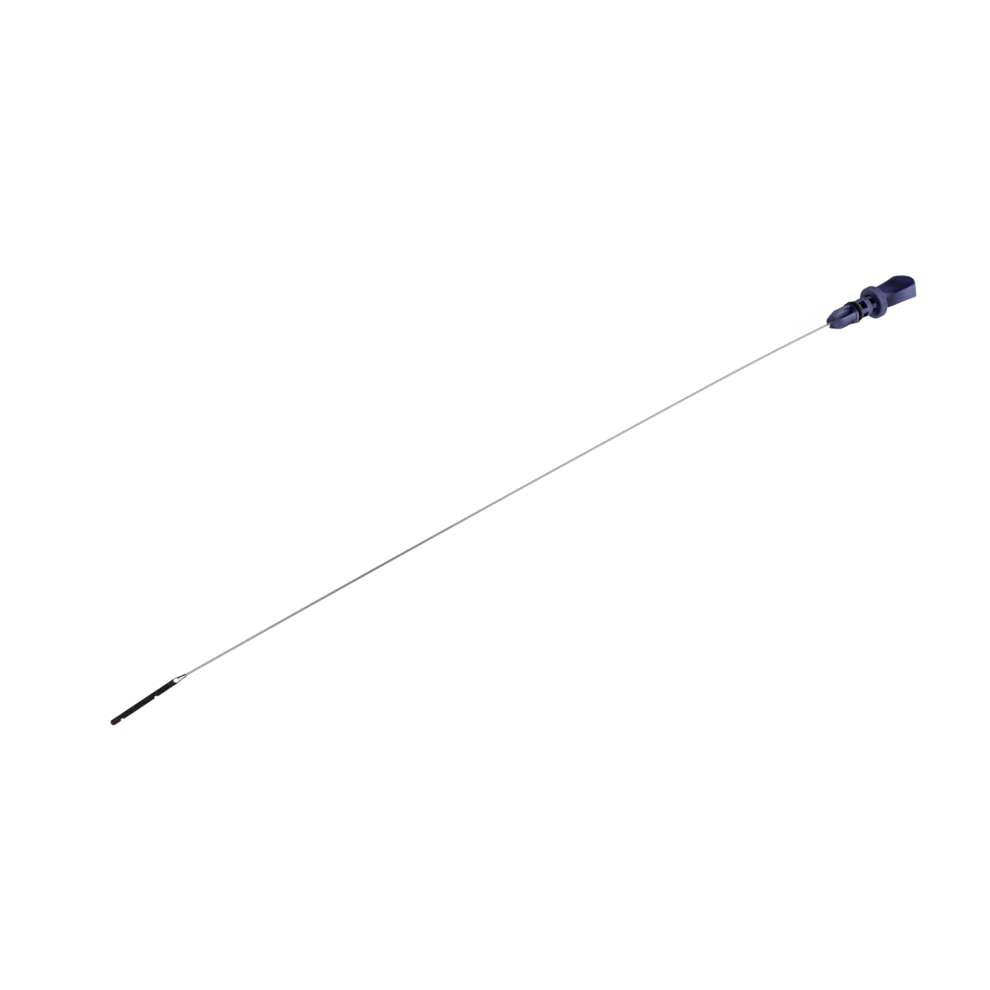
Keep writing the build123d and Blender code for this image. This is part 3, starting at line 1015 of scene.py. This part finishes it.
@dataclass
class SteelWire:
    """Round wire with its end pressed to a flat spade that has an eye."""

    route: WireRoute
    radius_mm: float = 0.8
    sides: int = 24
    eye_radius_mm: float = 1.6
    eye_ring_mm: float = 0.5
    spade_thickness_mm: float = 0.5
    spade_middle_mm: float = 0.5
    root_mm: float = 0.6
    root_step_mm: float = 0.02
    eye_clear_mm: float = 0.1
    flatten_power: float = 0.8
    squareness: float = 2.5
    sections: int = 28
    section_points: int = 48
    voxel_mm: float = 0.06
    soften_turns: int = 4

    @property
    def ring_radius_mm(self) -> float:
        """Outer radius of the eye's ring."""
        return self.eye_radius_mm + self.eye_ring_mm

    def build(self) -> None:
        """Sweep the wire, press its spade and join the two."""
        finish = DrawnSteel().material(self.route, self.radius_mm, self.ring_radius_mm)
        tree = GeometryTree("wire_sweep")
        radius = tree.size("Wire Radius", "NodeSocketFloat", self.radius_mm * MM)
        sides = tree.size("Sides", "NodeSocketInt", self.sides)
        section = tree.node("GeometryNodeCurvePrimitiveCircle", {"Resolution": sides, "Radius": radius})
        place = tree.node("GeometryNodeInputPosition", {})
        section = tree.mark(section, WireMark.AROUND, place, "FLOAT_VECTOR")
        line = tree.node("GeometryNodeMeshToCurve", {"Mesh": tree.entry.outputs["Geometry"]})
        line = tree.mark(line, WireMark.ALONG, tree.node("GeometryNodeSplineParameter", {}), "FLOAT")
        caps = {"Curve": line, "Profile Curve": section, "Fill Caps": True}
        tree.close(tree.node("GeometryNodeCurveToMesh", caps), finish)
        mesh = self._fuse(tree.run(outline_mesh("wire_line", self.route.line, False)), self.spade())
        mesh.materials.clear()
        mesh.materials.append(finish)
        place_piece("steel_wire", mesh, "wire")

    @staticmethod
    def _fuse(tube: Mesh, spade: Mesh) -> Mesh:
        """Join the round wire and its spade to one closed skin.

        Args:
            tube: the round wire.
            spade: the spade, which starts inside it.

        Returns:
            The mesh of both.
        """
        wire, end = (link_object(mesh.name, mesh) for mesh in (tube, spade))
        union = wire.modifiers.new("fuse", "BOOLEAN")
        union.operation = "UNION"
        union.solver = "EXACT"
        union.object = end
        mesh = plain_mesh(wire)
        bpy.data.objects.remove(end)
        mesh.shade_smooth()
        return mesh

    def spade(self) -> Mesh:
        """Press the spade: a taper from round to flat, cut by the eye, and run into the eye's ring.

        Returns:
            The mesh, in place.
        """
        form = bmesh.new()
        self._skin(form, self._taper())
        for side in (1, -1):
            self._skin(form, self._arm(side))
        self._skin(form, self._eye_ring(), closed=True)
        bmesh.ops.recalc_face_normals(form, faces=form.faces)
        mesh = bpy.data.meshes.new("spade")
        form.to_mesh(mesh)
        form.free()
        holder = link_object("spade", mesh)
        remesh = holder.modifiers.new("fuse", "REMESH")
        remesh.mode = "VOXEL"
        remesh.voxel_size = self.voxel_mm
        soften = holder.modifiers.new("soften", "SMOOTH")
        soften.iterations = self.soften_turns
        pressed = plain_mesh(holder)
        pressed.transform(Matrix.Translation(self.route.eye) @ Matrix.Scale(MM, 4))
        return pressed

    def _half_width(self, x: float) -> float:
        """Half of the spade's width, that far from the eye towards the wire."""
        wide = self.ring_radius_mm
        return wide + (self.radius_mm - wide) * x / self.route.taper_length_mm

    def _sheet_corners(self, inner: float, outer: float) -> tuple[tuple[float, float], ...]:
        """Reach and height of the corners of the flat sheet, cut from one reach to another."""
        low, high = (self.spade_middle_mm + self.spade_thickness_mm * half for half in (-0.5, 0.5))
        return (inner, low), (outer, low), (outer, high), (inner, high)

    def _taper(self) -> list[Ring]:
        """Draw the taper, from inside the round wire to the eye's edge.

        Returns:
            Its sections in order.
        """
        length = self.route.taper_length_mm
        rise = self.route.spade_start.z / MM
        root = self.radius_mm - self.root_step_mm
        last = 1.0 - (self.eye_radius_mm + self.eye_clear_mm) / length
        rings = [self._section((length + self.root_mm, rise), (root, root), ELLIPSE)]
        for i in range(self.sections + 1):
            share = i / self.sections * last
            flat = share ** self.flatten_power
            half_height = root + (self.spade_thickness_mm / 2 - root) * flat
            middle = rise + (self.spade_middle_mm - rise) * flat
            x = length * (1 - share)
            half_width = self._half_width(x) if i else root
            power = ELLIPSE + self.squareness * share
            rings.append(self._section((x, middle), (half_width, half_height), power))
        return rings

    def _arm(self, side: int) -> list[Ring]:
        """Draw an arm that carries the taper's edge on, round the eye, to the side of its ring.

        Args:
            side: 1 or -1 across the spade.

        Returns:
            Its sections in order.
        """
        rings = []
        for i in range(self.sections + 1):
            x = self.ring_radius_mm * (1 - i / self.sections)
            inner = math.sqrt(max(0.0, self.eye_radius_mm ** 2 - x ** 2)) * side
            corners = self._sheet_corners(inner, self._half_width(x) * side)
            rings.append([(x, across, up) for across, up in corners])
        return rings

    def _section(self, place: tuple[float, float], half: tuple[float, float], power: float) -> Ring:
        """One section of the taper.

        Args:
            place: of its middle, from the eye towards the wire and over the floor.
            half: half of its width and half of its height.
            power: how square it is; 2 is an ellipse.

        Returns:
            Its points in order.
        """
        made = []
        for i in range(self.section_points):
            angle = 2 * math.pi * i / self.section_points
            cosine, sine = math.cos(angle), math.sin(angle)
            across = math.copysign(abs(cosine) ** (ELLIPSE / power), cosine) * half[0]
            up = math.copysign(abs(sine) ** (ELLIPSE / power), sine) * half[1]
            made.append((place[0], across, place[1] + up))
        return made

    @staticmethod
    def _skin(form: bmesh.types.BMesh, rings: list[Ring], closed: bool = False) -> None:
        """Add sections to a mesh and join them by quads.

        Args:
            form: the mesh, in millimetres from the eye.
            rings: the sections in order.
            closed: whether the last joins the first; otherwise both ends are filled.
        """
        made = [[form.verts.new(point) for point in ring] for ring in rings]
        following = made[1:] + (made[:1] if closed else [])
        for one, two in zip(made, following):
            for i in range(len(one)):
                j = (i + 1) % len(one)
                form.faces.new((one[i], one[j], two[j], two[i]))
        if not closed:
            form.faces.new(made[0])
            form.faces.new(made[-1])

    def _eye_ring(self) -> list[Ring]:
        """Draw the flat ring round the eye.

        Returns:
            Its sections in order.
        """
        corners = self._sheet_corners(self.eye_radius_mm, self.ring_radius_mm)
        rings = []
        for i in range(self.section_points * 2):
            angle = math.pi * i / self.section_points
            cosine, sine = math.cos(angle), math.sin(angle)
            rings.append([(cosine * reach, sine * reach, height) for reach, height in corners])
        return rings


@dataclass
class GaugeBlade:
    """The black blade: its CAD solid in a mottled finish."""

    route: WireRoute
    node: str = "blade"
    turn_deg: float = 7.1
    length_mm: float = 50.5
    width_mm: float = 4.3

    def build(self) -> None:
        """Dress the solid."""
        turn = math.radians(self.turn_deg)
        heading = Vector((-math.cos(turn), -math.sin(turn), 0.0))
        finish = GaugePlastic().material(self.route.eye, heading, self.length_mm, self.width_mm)
        dress_node(self.node, finish)


@dataclass(frozen=True)
class Softbox:
    """A soft lamp that points at the dipstick; level is how bright it makes white paper facing it."""

    name: str
    towards: tuple[float, float, float]
    distance: float
    size: float
    level: float

    def build(self, target: Vector) -> None:
        """Hang the lamp.

        Args:
            target: what it points at.
        """
        lamp = bpy.data.lights.new(self.name, "AREA")
        lamp.shape = "DISK"
        lamp.size = self.size
        lamp.energy = self.level * (math.pi * self.distance) ** 2
        holder = link_object(self.name, lamp)
        direction = Vector(self.towards).normalized()
        holder.location = target + direction * self.distance
        holder.rotation_euler = direction.to_track_quat("Z", "Y").to_euler()
        log.info("%s: soft lamp at level %.2f", self.name, self.level)


Shader = tuple[str, dict]


@dataclass
class Studio:
    """White floor, soft light and the camera at the photograph's angle."""

    azimuth_deg: float = -34.8899
    elevation_deg: float = 48.5977
    target_mm: tuple[float, float, float] = (-39.37, 9.277, 6.0)
    distance_mm: float = 1259.878
    focal_pixels: float = 1800.0
    floor_size: float = 30.0
    floor_colour: float = 0.5
    floor_share: float = 0.8
    floor_white: float = 1.2
    fill: float = 0.1
    lamps: tuple[Softbox, ...] = (
        Softbox("right_softbox", (0.8, -0.52, 0.3), 3.0, 1.4, 0.85),
        Softbox("left_softbox", (-0.75, -0.5, 0.45), 3.0, 1.8, 0.34),
        Softbox("back_softbox", (0.1, 0.95, 0.25), 3.0, 1.4, 0.15),
    )

    def build(self) -> None:
        """Set the stage."""
        target = Vector(self.target_mm) * MM
        self._camera(target)
        self._world()
        self._floor()
        for lamp in self.lamps:
            lamp.build(target)
        bpy.context.scene.view_settings.view_transform = "Standard"

    def _camera(self, target: Vector) -> None:
        """Place the camera.

        Args:
            target: the point in the middle of its picture.
        """
        azimuth, elevation = math.radians(self.azimuth_deg), math.radians(self.elevation_deg)
        level = math.cos(elevation)
        back = Vector((math.sin(azimuth) * level, -math.cos(azimuth) * level, math.sin(elevation)))
        data = bpy.data.cameras.new("camera")
        data.sensor_width = SENSOR_WIDTH
        data.lens = SENSOR_WIDTH * self.focal_pixels / PHOTO_PIXELS
        camera = link_object("camera", data)
        camera.location = target + back * self.distance_mm * MM
        camera.rotation_euler = back.to_track_quat("Z", "Y").to_euler()
        bpy.context.scene.camera = camera

    @staticmethod
    def _close(tree: NodeTree, output: str, lit: Shader, seen: Shader, most: float = 1.0) -> None:
        """Fill a tree with a surface that some rays see as white.

        Args:
            tree: the tree.
            output: type of its last node.
            lit: type and inputs of the shader that gives or takes light.
            seen: type and inputs of the white shader.
            most: how much of the white one those rays see.
        """
        tree.nodes.clear()
        share: Union[float, NodeSocket] = 0.0
        for ray in Ray:
            of_kind = add_node(tree, "ShaderNodeLightPath", {}, ray.value)
            share = add_node(tree, "ShaderNodeMath", {0: share, 1: of_kind}, operation="MAXIMUM")
        share = add_node(tree, "ShaderNodeMath", {0: share, 1: most}, operation="MULTIPLY")
        inputs = {0: share, 1: add_node(tree, *lit), 2: add_node(tree, *seen)}
        mixed = add_node(tree, "ShaderNodeMixShader", inputs)
        feed(tree, tree.nodes.new(output), {"Surface": mixed})

    def _world(self) -> None:
        """Even soft light from all round, white where it is seen."""
        world = bpy.data.worlds.new("studio")
        world.use_nodes = True
        bpy.context.scene.world = world
        soft = ("ShaderNodeBackground", {"Color": WHITE, "Strength": self.fill})
        seen = ("ShaderNodeBackground", {"Color": WHITE})
        self._close(world.node_tree, "ShaderNodeOutputWorld", soft, seen)

    def _floor(self) -> None:
        """Pale floor that is almost white where it is seen and keeps a faint shadow."""
        half = self.floor_size / 2
        corners = [(-half, -half, 0.0), (half, -half, 0.0), (half, half, 0.0), (-half, half, 0.0)]
        mesh = bpy.data.meshes.new("floor")
        mesh.from_pydata(corners, [], [(0, 1, 2, 3)])
        floor = link_object("floor", mesh)

        material = bpy.data.materials.new("floor_paper")
        material.use_nodes = True
        paper = ("ShaderNodeBsdfDiffuse", {"Color": (*[self.floor_colour] * 3, 1.0)})
        seen = ("ShaderNodeEmission", {"Color": WHITE, "Strength": self.floor_white})
        self._close(material.node_tree, "ShaderNodeOutputMaterial", paper, seen, self.floor_share)
        mesh.materials.append(material)


def main() -> None:
    """Build the pieces in order and set the stage round them."""
    logging.basicConfig(level=logging.INFO, format="%(name)s %(message)s")
    handle = Handle()
    axes = handle.axes()
    route = WireRoute(axes)
    handle.build()
    SealRing().build(axes)
    SteelWire(route).build()
    GaugeBlade(route).build()
    Studio().build()


if __name__ == "__main__":
    main()
